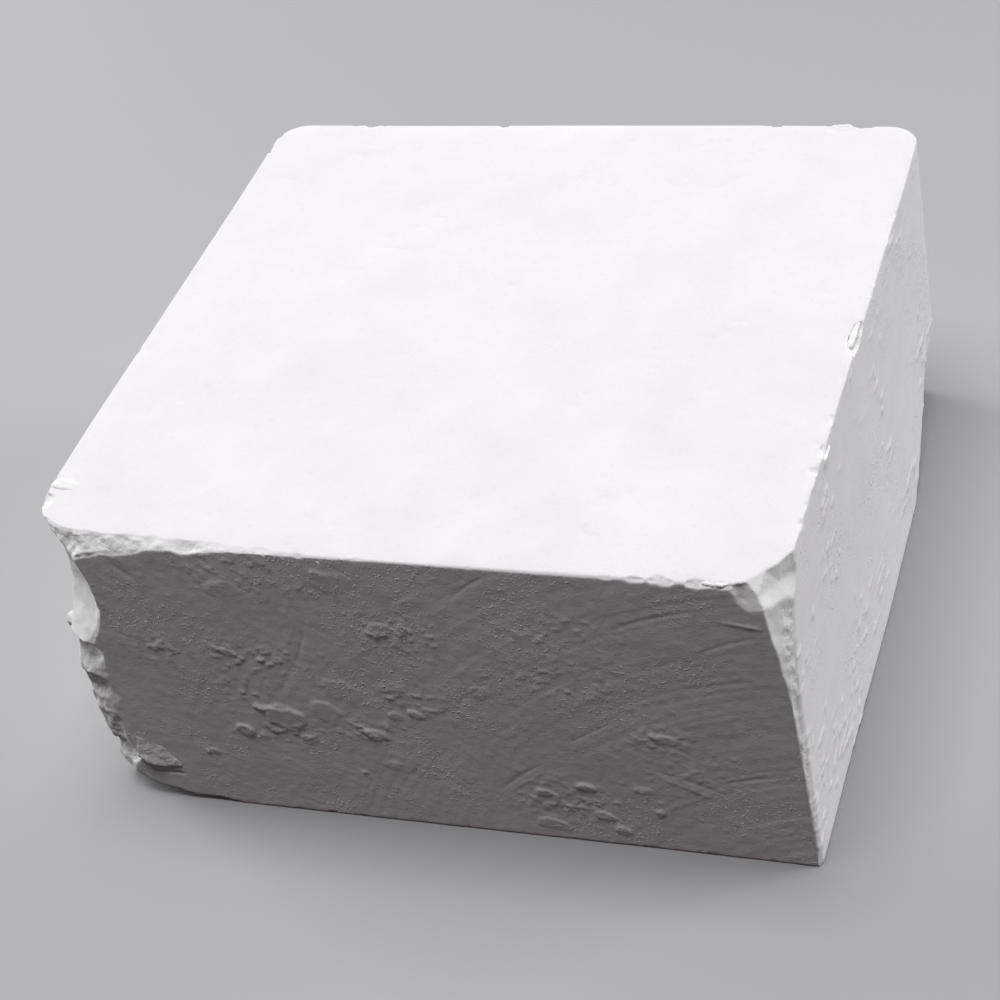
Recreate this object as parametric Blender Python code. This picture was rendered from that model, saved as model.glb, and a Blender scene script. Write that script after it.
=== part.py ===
"""Gymnastics chalk block: one pressed block of magnesium carbonate, and the flakes that cling to its edges.

X runs along the scraped front face, Y away from it and Z up. The origin is on the surface that the block
stands on, in the middle of its footprint. Everything is in metres.
"""

import math

import bmesh
import bpy
from mathutils import Vector

MM = 0.001

# Driving dimensions of the pressed block
LENGTH = 60.0 * MM
DEPTH = 58.0 * MM
HEIGHT = 29.0 * MM
MOULD_RADIUS = 2.8 * MM  # the two upright edges at the back
ARRIS = 0.35 * MM  # every other edge, softened by handling
ARC_STEPS = 5

# Loose pieces
CRACK = 0.3 * MM  # the gap between a loose piece and the block
TAPER = 0.8  # how far a loose piece narrows towards its buried side
CHIPPED_ARRIS = 0.08 * MM

LEFT, RIGHT = -LENGTH / 2, LENGTH / 2
FRONT, BACK = -DEPTH / 2, DEPTH / 2
OVERSHOOT = 1.5 * MM  # how far a cutter reaches past the faces it cuts

X = Vector((1, 0, 0))
Y = Vector((0, 1, 0))
Z = Vector((0, 0, 1))

PRESSED_WHITE = (0.90, 0.89, 0.90, 1.0)
BROKEN_WHITE = (0.93, 0.93, 0.925, 1.0)


def clear_scene():
    for thing in list(bpy.data.objects):
        bpy.data.objects.remove(thing, do_unlink=True)


def chalk(name, colour, roughness):
    """A dry, matt, non-metallic powder surface."""
    material = bpy.data.materials.new(name)
    material.use_nodes = True
    shader = material.node_tree.nodes["Principled BSDF"]
    shader.inputs["Base Color"].default_value = colour
    shader.inputs["Roughness"].default_value = roughness
    shader.inputs["Metallic"].default_value = 0.0
    material.diffuse_color = colour
    return material


def add_object(name, shape, place=(0, 0, 0)):
    """Turn a finished bmesh into an object whose origin is at place."""
    bmesh.ops.recalc_face_normals(shape, faces=shape.faces)
    mesh = bpy.data.meshes.new(name)
    shape.to_mesh(mesh)
    shape.free()
    thing = bpy.data.objects.new(name, mesh)
    thing.location = place
    bpy.context.collection.objects.link(thing)
    return thing


def as_cutter(thing):
    thing.hide_render = True
    thing.display_type = "WIRE"
    return thing


def loft(rings):
    """Close a stack of rings with the same number of points into one solid."""
    shape = bmesh.new()
    rows = [[shape.verts.new(point) for point in ring] for ring in rings]
    for lower, upper in zip(rows, rows[1:]):
        for i in range(len(lower)):
            j = (i + 1) % len(lower)
            shape.faces.new((lower[i], lower[j], upper[j], upper[i]))
    shape.faces.new(rows[0])
    shape.faces.new(rows[-1])
    return shape


def arc(centre, start_angle):
    """Quarter circle of the mould radius, anticlockwise from start_angle."""
    for step in range(ARC_STEPS + 1):
        angle = start_angle + step * math.pi / 2 / ARC_STEPS
        yield (
            centre[0] + MOULD_RADIUS * math.cos(angle),
            centre[1] + MOULD_RADIUS * math.sin(angle),
        )


def pressed_block():
    """The whole block before anything broke off: square at the front, rounded at the back."""
    outline = [(LEFT, FRONT), (RIGHT, FRONT)]
    outline += arc((RIGHT - MOULD_RADIUS, BACK - MOULD_RADIUS), 0.0)
    outline += arc((LEFT + MOULD_RADIUS, BACK - MOULD_RADIUS), math.pi / 2)
    rings = [[(x, y, height) for x, y in outline] for height in (0.0, HEIGHT)]
    block = add_object("chalk_block", loft(rings))
    softened = block.modifiers.new("softened edges", "BEVEL")
    softened.width = ARRIS
    softened.segments = 2
    softened.limit_method = "ANGLE"
    softened.angle_limit = math.radians(40)
    return block


def edge_break(name, edge, along, into_first, into_second, stations):
    """Cutter for an edge that is broken away.

    edge is a point on the edge's own line. Each station is (distance along the edge from that point, how far
    the break runs into the first face, how far it runs into the second), in millimetres.
    """
    rings = []
    for distance, first_run, second_run in stations:
        at = edge + along * (distance * MM)
        first_end = into_first * (first_run * MM)
        second_end = into_second * (second_run * MM)
        onward = (second_end - first_end).normalized() * OVERSHOOT
        outside = (into_first + into_second) * -OVERSHOOT
        rings.append((at + first_end - onward, at + second_end + onward, at + outside))
    return as_cutter(add_object(name, loft(rings)))


def corner_break(name, points):
    """Cutter for a corner facet: the hull of its own corners and of points outside the block."""
    shape = bmesh.new()
    verts = [shape.verts.new(point) for point in points]
    hull = bmesh.ops.convex_hull(shape, input=verts)
    inside = [part for part in hull["geom_interior"] if isinstance(part, bmesh.types.BMVert)]
    bmesh.ops.delete(shape, geom=inside, context="VERTS")
    return as_cutter(add_object(name, shape))


def left_upright_break():
    """The broken front left upright edge: wide below the top face, narrow lower down."""
    stations = (
        (30.5, 3.0, 5.2),
        (28.0, 4.4, 4.6),
        (25.0, 4.8, 4.7),
        (21.0, 4.8, 4.6),
        (18.0, 3.4, 1.5),
        (14.0, 2.9, 1.4),
        (9.0, 2.9, 1.4),
        (5.0, 2.0, 1.7),
        (-1.5, 2.9, 2.0),
    )
    return edge_break("left_upright_break", Vector((LEFT, FRONT, 0)), Z, X, Y, stations)


def front_top_break():
    """The crumbled left third of the top edge over the front face."""
    stations = ((-1.5, 3.0, 1.4), (4.0, 2.7, 1.3), (10.0, 1.4, 1.0), (14.5, 0.9, 0.5), (18.5, 0.3, 0.3))
    return edge_break("front_top_break", Vector((LEFT, FRONT, HEIGHT)), X, -Z, Y, stations)


def right_upright_break():
    """The strip broken off the front right upright edge, tapering to nothing at the bottom."""
    stations = (
        (-1.5, 0.35, 0.35),
        (6.0, 0.4, 0.7),
        (13.0, 0.45, 1.2),
        (20.0, 0.8, 2.4),
        (26.0, 1.5, 3.6),
        (30.5, 2.3, 3.8),
    )
    return edge_break("right_upright_break", Vector((RIGHT, FRONT, 0)), Z, -X, Y, stations)


def front_right_facet():
    """The small facet that slopes down to the front right corner under the top skin."""
    drop = 2.4 * MM
    points = (
        Vector((RIGHT - 3.0 * MM, FRONT + 0.9 * MM, HEIGHT)),
        Vector((RIGHT + 0.4 * MM, FRONT + 3.2 * MM, HEIGHT)),
        Vector((RIGHT - 1.9 * MM, FRONT - 0.3 * MM, HEIGHT - drop)),
        Vector((RIGHT + 0.6 * MM, FRONT + 3.6 * MM, HEIGHT - drop)),
        Vector((RIGHT + 2.0 * MM, FRONT - 2.0 * MM, HEIGHT - drop)),
        Vector((RIGHT - 3.0 * MM, FRONT - 2.0 * MM, HEIGHT + OVERSHOOT)),
        Vector((RIGHT - 3.2 * MM, FRONT + 0.9 * MM, HEIGHT + OVERSHOOT)),
        Vector((RIGHT + 2.0 * MM, FRONT + 3.6 * MM, HEIGHT + OVERSHOOT)),
        Vector((RIGHT + 2.0 * MM, FRONT - 2.0 * MM, HEIGHT + OVERSHOOT)),
    )
    return corner_break("front_right_facet", points)


def bottom_right_break():
    """The chip under the right face, growing towards the back."""
    stations = ((42.0, 0.3, 0.3), (45.0, 2.2, 0.9), (49.0, 6.0, 1.8), (52.0, 9.4, 2.6), (59.5, 10.6, 3.2))
    return edge_break("bottom_right_break", Vector((RIGHT, FRONT, 0)), Y, Z, -X, stations)


def bottom_left_break():
    """The lifted lower left corner: a shallow chip under the front face."""
    stations = ((-1.5, 2.0, 3.2), (3.0, 1.6, 3.0), (6.5, 0.7, 2.0), (11.0, 0.3, 0.3))
    return edge_break("bottom_left_break", Vector((LEFT, FRONT, 0)), X, Z, Y, stations)


def grown(outline, by):
    """A convex anticlockwise outline with every side moved outwards."""
    sides = []
    for i, start in enumerate(outline):
        end = outline[(i + 1) % len(outline)]
        run = (Vector(end) - Vector(start)).normalized()
        outward = Vector((run.y, -run.x))
        sides.append((Vector(start) + outward * by, run))
    corners = []
    for i, (start, run) in enumerate(sides):
        before, run_before = sides[i - 1]
        across = run_before.x * run.y - run_before.y * run.x
        gap = start - before
        step = (gap.x * run.y - gap.y * run.x) / across
        corners.append(before + run_before * step)
    return corners


def slab(outline, outer, inner, across, upward, outward):
    """A plate whose outline lies on a face of the block and narrows on its way in."""
    rings = []
    for depth, size in ((outer, 1.0), (inner, TAPER)):
        rings.append([across * u * size + upward * v * size + outward * depth for u, v in outline])
    return loft(rings)


def loose_piece(block, name, place, face, outline, proud, thickness, material):
    """One cracked-off piece, and the pocket in the block that it sits in.

    place is the middle of the piece on the face, face is (across, upward, outward), and outline holds the
    piece's corners anticlockwise about that middle, in millimetres.
    """
    corners = [(u * MM, v * MM) for u, v in outline]
    across, upward, outward = face
    piece = add_object(name, slab(corners, proud, proud - thickness, across, upward, outward), place)
    piece.data.materials.append(material)
    chipped = piece.modifiers.new("chipped edges", "BEVEL")
    chipped.width = CHIPPED_ARRIS
    chipped.segments = 1
    room = grown(corners, CRACK / TAPER)
    pocket = slab(room, OVERSHOOT, proud - thickness - CRACK, across, upward, outward)
    cutter = as_cutter(add_object(name + "_pocket", pocket, place))
    cut_away(block, cutter)
    return piece


def cut_away(block, cutter):
    cut = block.modifiers.new(cutter.name, "BOOLEAN")
    cut.operation = "DIFFERENCE"
    cut.solver = "EXACT"
    cut.object = cutter


def break_edges(block):
    cutters = (
        left_upright_break(),
        front_top_break(),
        right_upright_break(),
        front_right_facet(),
        bottom_right_break(),
        bottom_left_break(),
    )
    for cutter in cutters:
        cut_away(block, cutter)


def add_loose_pieces(block, material):
    on_front = (X, Z, -Y)
    on_top = (X, Y, Z)
    on_right = (Y, Z, X)
    on_left = (-Y, Z, -X)
    pieces = (
        # name, place, face, outline, how proud it stands, thickness
        (
            "lower_left_flake",
            (LEFT + 5.2 * MM, FRONT, 5.4 * MM),
            on_front,
            ((-1.4, 1.7), (-1.9, -0.9), (-0.4, -1.9), (2.2, -1.7), (1.2, 0.6)),
            0.3 * MM,
            1.3 * MM,
        ),
        (
            "front_right_splinter",
            (RIGHT - 4.6 * MM, FRONT + 0.9 * MM, HEIGHT),
            on_top,
            ((-1.4, -0.3), (0.2, -0.5), (1.0, -0.1), (0.9, 0.4), (-0.6, 0.3)),
            0.1 * MM,
            1.0 * MM,
        ),
        (
            "right_edge_sliver",
            (RIGHT - 0.6 * MM, 0.0, HEIGHT),
            on_top,
            ((-0.3, -2.2), (0.3, -1.9), (0.35, 1.6), (-0.1, 2.1)),
            0.0,
            1.2 * MM,
        ),
        (
            "right_edge_flake",
            (RIGHT, FRONT + 15.2 * MM, HEIGHT - 1.2 * MM),
            on_right,
            ((-1.1, -0.3), (0.2, -0.6), (1.2, 0.5), (-0.7, 0.6)),
            0.0,
            0.9 * MM,
        ),
        (
            "back_edge_flake",
            (RIGHT - 6.8 * MM, BACK - 0.7 * MM, HEIGHT),
            on_top,
            ((-1.3, -0.4), (0.9, -0.5), (1.3, 0.1), (0.6, 0.55), (-1.0, 0.5)),
            0.25 * MM,
            1.0 * MM,
        ),
        (
            "left_tip_lump",
            (LEFT + 1.7 * MM, FRONT + 6.1 * MM, HEIGHT),
            on_top,
            ((-1.2, -0.4), (0.9, -0.6), (1.4, 0.2), (0.2, 0.8), (-1.1, 0.5)),
            0.0,
            1.4 * MM,
        ),
        (
            "left_side_crumb",
            (LEFT, FRONT + 2.9 * MM, 17.6 * MM),
            on_left,
            ((-0.5, -0.5), (0.4, -0.6), (0.6, 0.1), (0.2, 0.6), (-0.5, 0.5)),
            0.25 * MM,
            1.1 * MM,
        ),
    )
    for name, place, face, outline, proud, thickness in pieces:
        loose_piece(block, name, place, face, outline, proud, thickness, material)


def main():
    clear_scene()
    block = pressed_block()
    block.data.materials.append(chalk("pressed_chalk", PRESSED_WHITE, 0.92))
    break_edges(block)
    add_loose_pieces(block, chalk("broken_chalk", BROKEN_WHITE, 0.98))


main()
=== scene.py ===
"""Gymnastics chalk block: a pressed block of magnesium carbonate with broken edges and clinging flakes.

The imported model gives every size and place. The block and its flakes are rebuilt here with their broken
edges, scraped faces and powdery surface, and set on a plain studio floor.
"""

import itertools
import math
import random

import bmesh
import bpy
import numpy as np
from bpy.props import FloatProperty, FloatVectorProperty, IntProperty, PointerProperty
from mathutils import Matrix, Vector


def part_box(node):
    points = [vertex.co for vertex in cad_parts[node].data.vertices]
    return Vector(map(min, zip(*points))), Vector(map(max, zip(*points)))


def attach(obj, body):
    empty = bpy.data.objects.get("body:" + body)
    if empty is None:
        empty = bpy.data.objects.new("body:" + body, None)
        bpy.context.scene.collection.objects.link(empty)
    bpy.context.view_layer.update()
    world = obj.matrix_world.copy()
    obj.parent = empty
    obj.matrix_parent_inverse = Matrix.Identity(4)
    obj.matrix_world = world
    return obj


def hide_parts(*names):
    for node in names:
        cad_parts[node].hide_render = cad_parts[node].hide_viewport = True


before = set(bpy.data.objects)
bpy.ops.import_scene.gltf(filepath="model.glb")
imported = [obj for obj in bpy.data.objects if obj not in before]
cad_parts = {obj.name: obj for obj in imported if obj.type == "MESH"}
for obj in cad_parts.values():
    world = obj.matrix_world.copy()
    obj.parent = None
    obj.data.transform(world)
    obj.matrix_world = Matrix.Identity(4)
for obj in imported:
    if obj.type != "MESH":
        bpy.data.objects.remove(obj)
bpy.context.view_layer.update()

bl_info = {
    "name": "Gymnastics chalk block",
    "version": (1, 0, 0),
    "blender": (4, 5, 0),
    "location": "3D View > Sidebar > Chalk block",
    "description": "Pressed chalk block with broken edges, its clinging flakes and a plain studio",
    "category": "Add Mesh",
}

MM = 0.001
BLOCK_LOW, BLOCK_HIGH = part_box("chalk_block")
LEFT, FRONT, BASE = BLOCK_LOW
RIGHT, BACK, TOP = BLOCK_HIGH

X = Vector((1, 0, 0))
Y = Vector((0, 1, 0))
Z = Vector((0, 0, 1))

OVERSHOOT = 1.5 * MM
ARC_STEPS = 8


# ---------------------------------------------------------------- settings


class ChalkBlockSettings(bpy.types.PropertyGroup):
    """Sizes and colours of the block and its flakes."""

    mould_radius: FloatProperty(
        name="Mould radius",
        description="Radius of the two upright edges at the back",
        default=2.8 * MM,
        unit="LENGTH",
    )
    arris: FloatProperty(
        name="Arris",
        description="Width of the softened edge between two faces",
        default=0.14 * MM,
        unit="LENGTH",
    )
    grid: FloatProperty(
        name="Sculpt grid",
        description="Distance between the points of the block's surface while it is shaped",
        default=0.14 * MM,
        unit="LENGTH",
    )
    most_triangles: IntProperty(
        name="Most triangles",
        description="How many triangles the finished block keeps",
        default=190000,
    )
    crumble: FloatProperty(
        name="Crumble",
        description="How far the broken surfaces stand in and out",
        default=0.2 * MM,
        unit="LENGTH",
    )
    blister: FloatProperty(
        name="Blister height",
        description="How far the largest blister stands out of the front face",
        default=0.17 * MM,
        unit="LENGTH",
    )
    wiping: FloatProperty(
        name="Wiping marks",
        description="Depth of the curved marks that scraping left on the front face",
        default=0.014 * MM,
        unit="LENGTH",
    )
    skin_colour: FloatVectorProperty(
        name="Pressed chalk",
        description="Colour of the pressed and scraped faces",
        subtype="COLOR",
        size=4,
        default=(0.885, 0.875, 0.89, 1.0),
    )
    broken_colour: FloatVectorProperty(
        name="Broken chalk",
        description="Colour of freshly broken powder",
        subtype="COLOR",
        size=4,
        default=(0.92, 0.92, 0.915, 1.0),
    )


class ChalkStageSettings(bpy.types.PropertyGroup):
    """The camera, the lights and the floor."""

    azimuth: FloatProperty(
        name="Camera azimuth",
        description="How far the camera stands to the right",
        default=math.radians(26.24),
        unit="ROTATION",
    )
    elevation: FloatProperty(
        name="Camera elevation",
        description="How far the camera looks down",
        default=math.radians(39.28),
        unit="ROTATION",
    )
    roll: FloatProperty(
        name="Camera roll",
        description="Tilt of the camera",
        default=math.radians(-13.92),
        unit="ROTATION",
    )
    distance: FloatProperty(
        name="Camera distance", description="From the point looked at", default=196.9 * MM, unit="LENGTH"
    )
    aim: FloatVectorProperty(
        name="Camera aim",
        description="The point looked at",
        subtype="XYZ",
        unit="LENGTH",
        default=(-1.7 * MM, -3.3 * MM, 12.3 * MM),
    )
    lens: FloatProperty(name="Lens", description="Focal length", default=83.4, unit="CAMERA")
    overhead_power: FloatProperty(
        name="Overhead light", description="Power of the softbox above", default=2.28, unit="POWER"
    )
    right_power: FloatProperty(
        name="Right light", description="Power of the softbox at the right", default=1.5, unit="POWER"
    )
    left_power: FloatProperty(
        name="Left light", description="Power of the softbox at the left", default=2.05, unit="POWER"
    )
    ambient: FloatProperty(name="Ambient", description="Strength of the even fill", default=0.053)
    floor_colour: FloatVectorProperty(
        name="Floor",
        description="Colour of the floor",
        subtype="COLOR",
        size=4,
        default=(0.42, 0.42, 0.43, 1.0),
    )


# ---------------------------------------------------------------- mesh helpers


def add_object(name, shape):
    """Turn a finished bmesh into an object that sits at the origin."""
    bmesh.ops.recalc_face_normals(shape, faces=shape.faces)
    mesh = bpy.data.meshes.new(name)
    shape.to_mesh(mesh)
    shape.free()
    thing = bpy.data.objects.new(name, mesh)
    bpy.context.scene.collection.objects.link(thing)
    return thing


def apply_stack(thing):
    """Replace the object's mesh by what its modifiers make of it."""
    bpy.context.view_layer.update()
    graph = bpy.context.evaluated_depsgraph_get()
    finished = bpy.data.meshes.new_from_object(thing.evaluated_get(graph), depsgraph=graph)
    thing.modifiers.clear()
    plain = thing.data
    thing.data = finished
    bpy.data.meshes.remove(plain)


def loft(rings):
    """Close a stack of rings with the same number of points into one solid."""
    shape = bmesh.new()
    rows = [[shape.verts.new(point) for point in ring] for ring in rings]
    for lower, upper in zip(rows, rows[1:]):
        for i in range(len(lower)):
            j = (i + 1) % len(lower)
            shape.faces.new((lower[i], lower[j], upper[j], upper[i]))
    shape.faces.new(rows[0])
    shape.faces.new(rows[-1])
    return shape


def push_about(thing, size, depth, strength):
    """Push the object's surface in and out by clouds of the given size."""
    clouds = bpy.data.textures.new(thing.name + "_fracture", "CLOUDS")
    clouds.noise_scale = size
    clouds.noise_depth = depth
    rough = thing.modifiers.new("fracture", "DISPLACE")
    rough.texture = clouds
    rough.texture_coords = "LOCAL"
    rough.strength = strength
    rough.mid_level = 0.5


def roughen(thing, levels, size, strength):
    """Divide a cutter finely and give it the surface of a dry fracture."""
    fine = thing.modifiers.new("divide", "SUBSURF")
    fine.subdivision_type = "SIMPLE"
    fine.levels = levels
    fine.render_levels = levels
    push_about(thing, size, 2, strength)


# ---------------------------------------------------------------- noise

HASH_PRIMES = (73856093, 19349663, 83492791)  # one for each axis
SEED_STEP = 1013904223
FIRST_MIXER = 2246822519
SECOND_MIXER = 3266489917
LOW_32_BITS = 0xFFFFFFFF
LOW_16_BITS = 0xFFFF
OCTAVE_STEP = 2.1  # each layer of noise is this much finer than the one before


def value_noise(points, cell, seed):
    """Smooth noise between -1 and 1, one value for each point, that varies over the cell size."""
    scaled = (points / cell).T
    base = np.floor(scaled)
    part = scaled - base
    part = part * part * (3 - 2 * part)
    weights = np.stack([1 - part, part])
    base = base.astype(np.int64)
    hashes = [(axis * prime, (axis + 1) * prime) for axis, prime in zip(base, HASH_PRIMES)]
    total = np.zeros(len(points))
    for i, j, k in itertools.product((0, 1), repeat=3):
        mixed = hashes[0][i] ^ hashes[1][j] ^ hashes[2][k]
        mixed = (mixed + seed * SEED_STEP) & LOW_32_BITS
        mixed = ((mixed ^ (mixed >> 15)) * FIRST_MIXER) & LOW_32_BITS
        mixed = ((mixed ^ (mixed >> 13)) * SECOND_MIXER) & LOW_32_BITS
        height = ((mixed ^ (mixed >> 16)) & LOW_16_BITS) / (LOW_16_BITS / 2) - 1.0
        total += height * (weights[i, 0] * weights[j, 1] * weights[k, 2])
    return total


def layered_noise(points, cell, octaves, seed):
    """Several layers of noise, each finer and half as strong as the one before."""
    total = np.zeros(len(points))
    strength = 1.0
    for octave in range(octaves):
        total += strength * value_noise(points, cell, seed + octave)
        cell = cell / OCTAVE_STEP
        strength = strength / 2
    return total


def ramp(values, start, end):
    """0 before start, 1 after end, and a smooth rise between them."""
    share = np.clip((values - start) / (end - start), 0, 1)
    return share * share * (3 - 2 * share)


# ---------------------------------------------------------------- the block's breaks


def edge_break(name, edge, along, into_first, into_second, stations, rough):
    """Rough cutter for an edge that is broken away.

    edge is a point on the edge's own line. Each station is (distance along the edge from that point, how far
    the break runs into the first face, how far it runs into the second, how far it is hollowed between the
    two), in millimetres.
    """
    rings = []
    for distance, first_run, second_run, hollow in stations:
        at = edge + along * (distance * MM)
        first_end = into_first * (first_run * MM)
        second_end = into_second * (second_run * MM)
        onward = (second_end - first_end).normalized() * OVERSHOOT
        outside = (into_first + into_second) * -OVERSHOOT
        inward = (into_first * second_run + into_second * first_run).normalized() * (hollow * MM)
        ring = [at + first_end - onward, at + first_end]
        for share in (0.25, 0.5, 0.75):
            ring.append(at + first_end.lerp(second_end, share) + inward * (4 * share * (1 - share)))
        ring += [at + second_end, at + second_end + onward, at + outside]
        rings.append(ring)
    cutter = add_object(name, loft(rings))
    roughen(cutter, 3, 1.1 * MM, rough * MM)
    return cutter


def left_upright_break():
    """The whole left front corner is gone: a smooth hollow above, a lip, and scalloped chips below it."""
    stations = (
        (30.5, 3.1, 4.2, -0.6), (29.0, 3.7, 4.4, -0.5), (27.5, 4.1, 4.6, -0.2), (25.9, 4.4, 4.6, 0.2),
        (24.3, 4.6, 4.6, 0.5), (22.6, 4.7, 4.6, 0.6), (21.0, 4.5, 4.4, 0.5), (19.6, 4.0, 3.4, 0.2),
        (18.3, 3.3, 2.2, -0.1), (17.5, 2.9, 1.6, -0.3), (17.2, 3.0, 1.8, 0.0), (16.8, 3.3, 2.3, 0.8),
        (15.8, 3.1, 1.8, 0.6), (14.9, 2.9, 1.1, 0.1), (13.9, 2.7, 0.9, -0.2), (13.4, 2.75, 1.0, 0.0),
        (12.9, 2.9, 1.1, 0.25), (12.0, 3.05, 1.15, 0.15), (11.0, 3.1, 1.0, -0.2), (9.6, 3.0, 0.9, -0.3),
        (8.0, 2.6, 1.0, -0.1), (6.4, 2.4, 1.1, 0.0), (5.4, 2.6, 1.3, 0.2), (5.0, 2.9, 1.8, 0.8),
        (4.2, 2.8, 1.8, 0.6), (3.6, 2.2, 1.3, -0.1), (2.6, 2.3, 1.5, -0.1), (1.6, 2.9, 2.0, 0.1),
        (-1.5, 3.6, 2.2, 0.1),
    )
    return edge_break("left_upright_break", Vector((LEFT, FRONT, BASE)), Z, X, Y, stations, 0.25)


def front_top_break():
    """The front top edge is crumbled away at its left end and rubbed for a third of its length."""
    stations = (
        (-1.5, 9.2, 3.8, 0.0), (0.0, 7.3, 3.05, 0.0), (1.35, 5.7, 2.4, 0.0), (2.5, 4.2, 1.75, -0.1),
        (3.4, 3.0, 1.35, 0.0), (4.2, 2.25, 1.2, 0.1), (5.1, 1.85, 1.2, 0.0), (6.3, 1.5, 1.1, 0.1),
        (7.7, 1.4, 0.95, 0.0), (8.8, 1.3, 1.05, 0.1), (10.2, 0.85, 1.1, 0.0), (11.6, 0.5, 1.05, 0.0),
        (13.0, 0.4, 1.0, 0.0), (13.9, 0.75, 0.95, 0.1), (15.5, 0.45, 0.9, 0.0), (17.5, 0.15, 0.8, 0.0),
        (20.0, 0.12, 0.5, 0.0), (25.0, 0.1, 0.15, 0.0),
    )
    return edge_break("front_top_break", Vector((LEFT, FRONT, TOP)), X, -Z, Y, stations, 0.3)


def right_upright_break():
    """A narrow wedge has split off the right front corner."""
    stations = (
        (-1.5, 0.2, 0.38, 0.0), (1.4, 0.22, 0.42, 0.0), (4.2, 0.24, 0.5, 0.0), (8.4, 0.28, 0.65, 0.0),
        (13.0, 0.36, 0.85, 0.0), (16.4, 0.42, 0.95, 0.0), (19.7, 0.6, 1.1, 0.0), (22.5, 0.95, 1.75, 0.0),
        (25.2, 1.35, 2.6, 0.05), (27.0, 1.5, 2.75, 0.0), (30.5, 1.8, 3.1, 0.0),
    )
    return edge_break("right_upright_break", Vector((RIGHT, FRONT, BASE)), Z, -X, Y, stations, 0.16)


def bottom_breaks():
    """The lower edge is gone at the back of the right face and undercut at the left end of the front."""
    right = (
        (41.5, 0.1, 0.1, 0.0),
        (44.0, 1.4, 0.7, 0.0),
        (48.4, 5.4, 1.8, 0.2),
        (51.0, 8.6, 2.6, 0.4),
        (59.5, 10.8, 3.2, 0.4),
    )
    left = ((-1.5, 2.0, 3.2, 0.1), (3.0, 1.6, 3.0, 0.1), (6.5, 0.6, 2.0, 0.0), (11.0, 0.2, 0.2, 0.0))
    return (
        edge_break("bottom_right_break", Vector((RIGHT, FRONT, BASE)), Y, Z, -X, right, 0.5),
        edge_break("bottom_left_break", Vector((LEFT, FRONT, BASE)), X, Z, Y, left, 0.3),
    )


# The notch at the front right corner, as (x, y, z) in millimetres from that corner: where its wall meets the
# top, where the wall meets the sloping floor, and how far outside the block the two run on.
NOTCH_BRINK = ((-3.4, -1.2), (-2.9, 0.2), (-1.5, 1.85), (-0.85, 2.5), (-0.1, 3.9), (1.5, 6.6), (1.5, -1.2))
NOTCH_FLOOR = (
    (-2.2, -1.2, -1.24), (-1.85, 0.1, -1.2), (-1.4, 1.3, -1.36), (-0.8, 2.45, -1.45), (-0.25, 3.8, -1.9),
    (1.5, 5.9, -4.6), (1.5, -1.2, -8.73),
)

# A grey facet beside the notch, as (x, y, z) from the same corner: its lower border on the front face, its
# upper border under the top's skin, and the points outside the block that close the cutter.
FRONT_FACET = (
    (-3.6, 0.0, -0.5), (-3.3, 0.0, -1.7), (-2.4, 0.0, -2.45), (-1.4, 0.0, -2.1), (-3.6, 0.25, 0.4),
    (-2.6, 0.65, 0.4), (-1.0, 0.6, 0.4), (-3.8, -1.5, -0.5), (-2.4, -1.5, -2.7), (-0.9, -1.5, -2.0),
    (-0.9, -1.5, 0.4), (-3.8, -1.5, 0.4),
)


def corner_notch():
    """Rough cutter for the notch at the front right corner: a steep wall under the skin, a sloping floor."""
    corner = Vector((RIGHT, FRONT, TOP))
    floor = [corner + Vector(point) * MM for point in NOTCH_FLOOR]
    brink = [corner + Vector((x, y, 0.0)) * MM for x, y in NOTCH_BRINK]
    above = [point + Z * OVERSHOOT for point in brink]
    shape = loft((floor, brink, above))
    bmesh.ops.triangulate(shape, faces=shape.faces)
    cutter = add_object("front_right_notch", shape)
    roughen(cutter, 4, 0.9 * MM, 0.04 * MM)
    return cutter


def front_facet():
    """Cutter for the shallow grey facet between the front face and the notch."""
    shape = bmesh.new()
    corner = Vector((RIGHT, FRONT, TOP))
    verts = [shape.verts.new(corner + Vector(point) * MM) for point in FRONT_FACET]
    hull = bmesh.ops.convex_hull(shape, input=verts)
    inside = [part for part in hull["geom_interior"] if isinstance(part, bmesh.types.BMVert)]
    bmesh.ops.delete(shape, geom=inside, context="VERTS")
    cutter = add_object("front_facet", shape)
    roughen(cutter, 3, 0.7 * MM, 0.14 * MM)
    return cutter


def break_cutters():
    """One rough cutter for each large break that the block has."""
    return (
        left_upright_break(),
        front_top_break(),
        right_upright_break(),
        corner_notch(),
        front_facet(),
        *bottom_breaks(),
    )


def arc(centre, start_angle, radius):
    """Quarter circle, anticlockwise from start_angle."""
    for step in range(ARC_STEPS + 1):
        angle = start_angle + step * math.pi / 2 / ARC_STEPS
        yield (centre[0] + radius * math.cos(angle), centre[1] + radius * math.sin(angle))


def pressed_blank(settings):
    """The whole block before anything broke off: square at the front, rounded at the back."""
    radius = settings.mould_radius
    outline = [(LEFT, FRONT), (RIGHT, FRONT)]
    outline += arc((RIGHT - radius, BACK - radius), 0.0, radius)
    outline += arc((LEFT + radius, BACK - radius), math.pi / 2, radius)
    rings = [[(x, y, height) for x, y in outline] for height in (BASE, TOP)]
    block = add_object("pressed_block", loft(rings))
    softened = block.modifiers.new("softened edges", "BEVEL")
    softened.width = settings.arris
    softened.segments = 2
    softened.limit_method = "ANGLE"
    softened.angle_limit = math.radians(40)
    return block


def break_and_grid(block, settings):
    """Take the broken edges away, then give the block an even grid of points to sculpt."""
    cutters = break_cutters()
    for cutter in cutters:
        cut = block.modifiers.new(cutter.name, "BOOLEAN")
        cut.operation = "DIFFERENCE"
        cut.solver = "EXACT"
        cut.object = cutter
    grid = block.modifiers.new("even grid", "REMESH")
    grid.mode = "VOXEL"
    grid.voxel_size = settings.grid
    apply_stack(block)
    for cutter in cutters:
        bpy.data.objects.remove(cutter, do_unlink=True)


# ---------------------------------------------------------------- sculpting


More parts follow.
